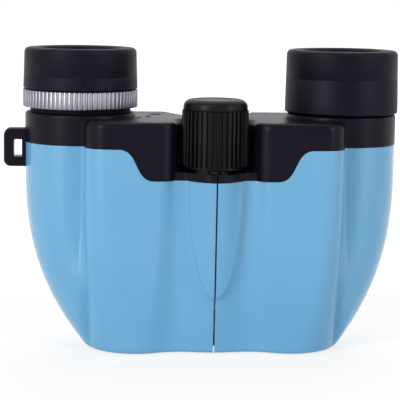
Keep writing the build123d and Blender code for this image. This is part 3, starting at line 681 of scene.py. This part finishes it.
def make_eyecup(side, bore_r, seat_z, body):
    """Soft rubber cup with a rounded rim, a slight taper and one moulded line round it."""
    node = f"{side}_eyecup"
    foot_r = node_radius(node)
    foot_z, top_z = node_heights(node)

    def skin_r(z):
        """Outer radius at a height."""
        return foot_r - cup_taper * (z - foot_z) / (top_z - foot_z)

    line_z = top_z - cup_line_drop
    bore_top_z = seat_z + cup_seat_gap
    rim_z = top_z - cup_rim_r
    outline = [(bore_r, foot_z), (foot_r - cup_foot_bevel, foot_z), (foot_r, foot_z + cup_foot_bevel)]
    for rise, depth in ((-cup_line_width / 2, 0.0), (0.0, cup_line_depth), (cup_line_width / 2, 0.0)):
        z = line_z + rise
        outline.append((skin_r(z) - depth, z))
    outline += arc_points((skin_r(rim_z) - cup_rim_r, rim_z), cup_rim_r, 0, 90)
    outline += arc_points((cup_mouth_r + cup_rim_r, rim_z), cup_rim_r, 90, 180)
    outline += [(cup_mouth_r, bore_top_z), (bore_r, bore_top_z)]
    cup = turned_body(f"{node}_rubber", outline, node_axis(node), "eyecup_rubber")
    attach(cup, body)
    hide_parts(node)
    return skin_r, foot_z


def make_index(skin_r, foot_z):
    """Small dished index on the left eyecup, above the dioptre ring."""
    z = foot_z + index_above_foot
    turn = math.radians(index_turn)
    out = Vector((math.cos(turn), math.sin(turn), 0))
    along = Vector((-math.sin(turn), math.cos(turn), 0))
    seat = Vector((*left_eye_axis, z * MM)) + out * skin_r(z) * MM
    shape = bmesh.new()
    loops = []
    for share, rise in index_rings:
        loop = []
        for x, y in circle_points(share * index_r):
            loop.append(shape.verts.new(seat + (along * x + Vector((0, 0, y)) + out * rise) * MM))
        loops.append(loop)
    for loop, after in zip(loops, loops[1:]):
        join_loops(shape, loop, after)
    middle = shape.verts.new(seat + out * index_floor * MM)
    last = loops[-1]
    for first, second in zip(last, last[1:] + last[:1]):
        shape.faces.new((first, second, middle))
    shape.faces.new(list(reversed(loops[0])))
    index = finished_mesh("diopter_index", shape, "cell_black")
    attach(index, "diopter_ring")


def add_mark(shape, outline, hole=()):
    """Mark raised on the deck over an outline in mm; a hole has as many points as the outline."""

    def level(points, z):
        """Points at a height."""
        return [shape.verts.new(Vector((x, y, z)) * MM) for x, y in points]

    low_z, high_z = deck_z - mark_root, deck_z + mark_height
    foot, top = level(outline, low_z), level(outline, high_z)
    join_loops(shape, foot, top)
    if not hole:
        shape.faces.new(top)
        shape.faces.new(list(reversed(foot)))
        return
    hole_foot, hole_top = level(hole, low_z), level(hole, high_z)
    join_loops(shape, hole_top, hole_foot)
    join_loops(shape, top, hole_top)
    join_loops(shape, hole_foot, foot)


def make_diopter_marks():
    """Raised minus, zero and plus on the left deck."""
    shape = bmesh.new()
    axis_mm = Vector(left_eye_axis) / MM
    long, thin = mark_length / 2, mark_width / 2
    minus = [(-long, -thin), (long, -thin), (long, thin), (-long, thin)]
    arm = [(long, -thin), (long, thin), (thin, thin)]
    plus = list(arm)
    for _ in range(3):
        arm = [(-y, x) for x, y in arm]
        plus += arm
    zero = [circle_points(radius) for radius in mark_zero_r]
    for (reach, turn), loops in zip(mark_places, ([minus], zero, [plus])):
        angle = math.radians(turn)
        centre = axis_mm + reach * Vector((math.cos(angle), math.sin(angle)))
        facing = Matrix.Rotation(angle + math.pi / 2, 2)
        add_mark(shape, *[[centre + facing @ Vector(point) for point in loop] for loop in loops])
    marks = finished_mesh("diopter_marks", shape, "knob_black")
    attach(marks, "left_half")


make_focus_knob()
make_diopter_ring()
make_eyecup("right", right_cup_bore_r, right_cell_top_z, "right_half")
left_skin_r, left_foot_z = make_eyecup("left", hub_r, collar_top_z, "diopter_ring")
make_index(left_skin_r, left_foot_z)
make_diopter_marks()


# Floor, light and camera


def direct_rays(tree):
    """1 for rays from the camera or off gloss and glass, 0 for the rest."""
    path = tree.nodes.new("ShaderNodeLightPath")
    either = maths(tree, "MAXIMUM", path.outputs["Is Camera Ray"], path.outputs["Is Glossy Ray"])
    return maths(tree, "MAXIMUM", either, path.outputs["Is Transmission Ray"])


def grey_diffuse(tree, level):
    """Diffuse shader of a plain grey."""
    node = add_node(tree, "ShaderNodeBsdfDiffuse")
    node.inputs["Color"].default_value = (level, level, level, 1)
    return node.outputs["BSDF"]


def mix_shaders(tree, factor, first, second):
    """Shader that goes from the first to the second with a factor."""
    node = add_node(tree, "ShaderNodeMixShader")
    for socket, value in zip(node.inputs, (factor, first, second)):
        tree.links.new(value, socket)
    return node.outputs["Shader"]


def plain_floor():
    """Pale floor that fades to white, keeps a soft shadow and is clear when seen from below."""
    mesh = bpy.data.meshes.new("floor")
    corners = ((-1, -1), (1, -1), (1, 1), (-1, 1))
    points = [(x * floor_half, y * floor_half, floor_z) for x, y in corners]
    mesh.from_pydata(points, [], [(0, 1, 2, 3)])
    floor = bpy.data.objects.new("floor", mesh)
    scene.collection.objects.link(floor)
    material = bpy.data.materials.new("floor_white")
    material.use_nodes = True
    tree = material.node_tree
    tree.nodes.clear()
    away = add_node(tree, "ShaderNodeVectorMath", operation="LENGTH")
    tree.links.new(own_coords(tree), away.inputs[0])
    glow = add_node(tree, "ShaderNodeEmission")
    strength = ramp_map(tree, away.outputs["Value"], *floor_fade, floor_glow, 1.0)
    tree.links.new(strength, glow.inputs["Strength"])
    seen = add_node(tree, "ShaderNodeAddShader")
    tree.links.new(grey_diffuse(tree, floor_faint), seen.inputs[0])
    tree.links.new(glow.outputs["Emission"], seen.inputs[1])
    plain = grey_diffuse(tree, floor_pale)
    from_above = mix_shaders(tree, direct_rays(tree), plain, seen.outputs["Shader"])
    below = add_node(tree, "ShaderNodeNewGeometry").outputs["Backfacing"]
    clear = add_node(tree, "ShaderNodeBsdfTransparent").outputs["BSDF"]
    surface = mix_shaders(tree, below, from_above, clear)
    tree.links.new(surface, add_node(tree, "ShaderNodeOutputMaterial").inputs["Surface"])
    mesh.materials.append(material)


def studio_world():
    """Even grey studio light; white where the camera, gloss or glass looks straight at it."""
    world = bpy.data.worlds.new("studio")
    scene.world = world
    world.use_nodes = True
    tree = world.node_tree
    back = tree.nodes["Background"]
    back.inputs["Color"].default_value = (1, 1, 1, 1)
    strength = ramp_map(tree, direct_rays(tree), 0.0, 1.0, world_level, 1.0)
    tree.links.new(strength, back.inputs["Strength"])


def soft_box(name, place, size, power, shines=True):
    """Rectangular area lamp aimed at the object; one that doesn't shine makes no highlights."""
    lamp = bpy.data.lights.new(name, "AREA")
    lamp.shape = "RECTANGLE"
    lamp.size, lamp.size_y = size
    lamp.energy = power
    obj = bpy.data.objects.new(name, lamp)
    obj.location = place
    obj.visible_camera = False
    obj.visible_glossy = shines
    obj.rotation_euler = (Vector(lamp_aim) - Vector(place)).to_track_quat("-Z", "Y").to_euler()
    scene.collection.objects.link(obj)


def photo_camera():
    """Camera at the photograph's angle."""
    data = bpy.data.cameras.new("camera")
    data.sensor_width = camera_sensor
    data.lens = camera_lens
    data.clip_start = camera_near
    camera = bpy.data.objects.new("camera", data)
    scene.collection.objects.link(camera)
    scene.camera = camera
    level = math.cos(camera_rise)
    across = math.sin(camera_turn) * level
    back = -math.cos(camera_turn) * level
    outwards = Vector((across, back, math.sin(camera_rise)))
    camera.location = Vector(camera_look_at) + outwards * camera_far
    facing = (-outwards).to_track_quat("-Z", "Y").to_matrix()
    camera.rotation_euler = (facing @ Matrix.Rotation(camera_roll, 3, "Z")).to_euler()


plain_floor()
studio_world()
soft_box("key_left", place=(-0.6, -0.6, 0.4), size=(0.25, 0.8), power=5.8)
soft_box("fill_right", place=(0.65, -0.5, 0.35), size=(0.2, 0.7), power=2.6)
soft_box("top_back", place=(0.0, 0.35, 0.9), size=(0.8, 0.4), power=2.0)
soft_box("fill_back", place=(0.15, 0.75, 0.4), size=(0.7, 0.6), power=4.0, shines=False)
photo_camera()
